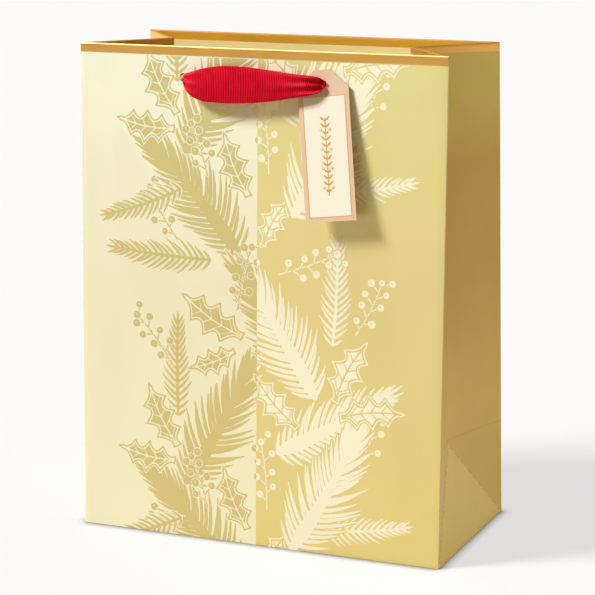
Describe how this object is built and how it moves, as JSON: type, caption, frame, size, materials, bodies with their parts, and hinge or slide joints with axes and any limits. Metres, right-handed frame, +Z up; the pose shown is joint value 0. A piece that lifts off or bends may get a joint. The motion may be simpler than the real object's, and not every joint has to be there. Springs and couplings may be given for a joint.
{
  "type": "gift bag",
  "caption": "Square-bottomed paper gift bag with folded side gussets, turned rim, ribbon handles and a hanging card tag.",
  "frame": {"origin": "centre of the rectangular footprint, on the surface the bag stands on", "axes": "+Z up, towards the mouth; +X to the right of someone facing the front; -Y out of the front panel"},
  "size_m": [0.26, 0.139, 0.3323],
  "materials": {
    "printed_paper": "semi-matt printed art paper",
    "gold_paper": "gold-printed paper, satin",
    "plain_paper": "unprinted, matt",
    "grey_board": "uncoated, matt",
    "red_ribbon": "ribbed grosgrain",
    "tag_card": "matt card"
  },
  "bodies": {
    "base": {"bottom_front_flap": "plain_paper", "bottom_back_flap": "plain_paper", "bottom_left_tuck": "plain_paper", "bottom_right_tuck": "plain_paper", "base_board": "grey_board", "left_gusset_foot": "gold_paper", "right_gusset_foot": "gold_paper", "left_gusset_front_half": "gold_paper", "left_gusset_front_hem": "gold_paper", "left_gusset_back_half": "gold_paper", "left_gusset_back_hem": "gold_paper", "right_gusset_front_half": "gold_paper", "right_gusset_front_hem": "gold_paper", "right_gusset_back_half": "gold_paper", "right_gusset_back_hem": "gold_paper"},
    "front": {"front_panel": "printed_paper", "front_reinforcing_card": "grey_board", "front_hem": "printed_paper", "front_left_ribbon_tail": "red_ribbon", "front_left_knot": "red_ribbon", "front_right_ribbon_tail": "red_ribbon", "front_right_knot": "red_ribbon"},
    "back": {"back_panel": "printed_paper", "back_reinforcing_card": "grey_board", "back_hem": "printed_paper", "back_left_ribbon_tail": "red_ribbon", "back_left_knot": "red_ribbon", "back_right_ribbon_tail": "red_ribbon", "back_right_knot": "red_ribbon", "side_seam_flap": "plain_paper"},
    "front_handle": {"front_ribbon": "red_ribbon"},
    "back_handle": {"back_ribbon": "red_ribbon"},
    "tag_neck": {"front_ribbon_neck": "red_ribbon"},
    "tag": {"tag_card": "tag_card"}
  },
  "joints": [
    {"name": "front_lean", "type": "hinge", "parent": "base", "child": "front", "pos_m": [0, -0.067, 0], "axis": [1, 0, 0], "range_deg": [-5.6, 1.8], "deforming": ["left_gusset_front_half", "left_gusset_front_hem", "right_gusset_front_half", "right_gusset_front_hem"]},
    {"name": "back_lean", "type": "hinge", "parent": "base", "child": "back", "pos_m": [0, 0.067, 0], "axis": [-1, 0, 0], "range_deg": [-5.6, 3.4], "deforming": ["left_gusset_back_half", "left_gusset_back_hem", "right_gusset_back_half", "right_gusset_back_hem"]},
    {"name": "front_handle_swing", "type": "hinge", "parent": "front", "child": "front_handle", "pos_m": [0, -0.0588, 0.3119], "axis": [-1, 0, 0], "range_deg": [0, 22]},
    {"name": "back_handle_swing", "type": "hinge", "parent": "back", "child": "back_handle", "pos_m": [0, 0.05009, 0.31155], "axis": [1, 0, 0], "range_deg": [0, 32]},
    {"name": "tag_swing", "type": "hinge", "parent": "front", "child": "tag_neck", "pos_m": [0.046, -0.0588, 0.3119], "axis": [0, -0.9895, 0.1444], "range_deg": [-30, 30]},
    {"name": "tag_lift", "type": "hinge", "parent": "tag_neck", "child": "tag", "pos_m": [0.0449, -0.05751, 0.32074], "axis": [-0.9925, -0.0176, -0.1206], "range_deg": [-4, 6]}
  ]
}
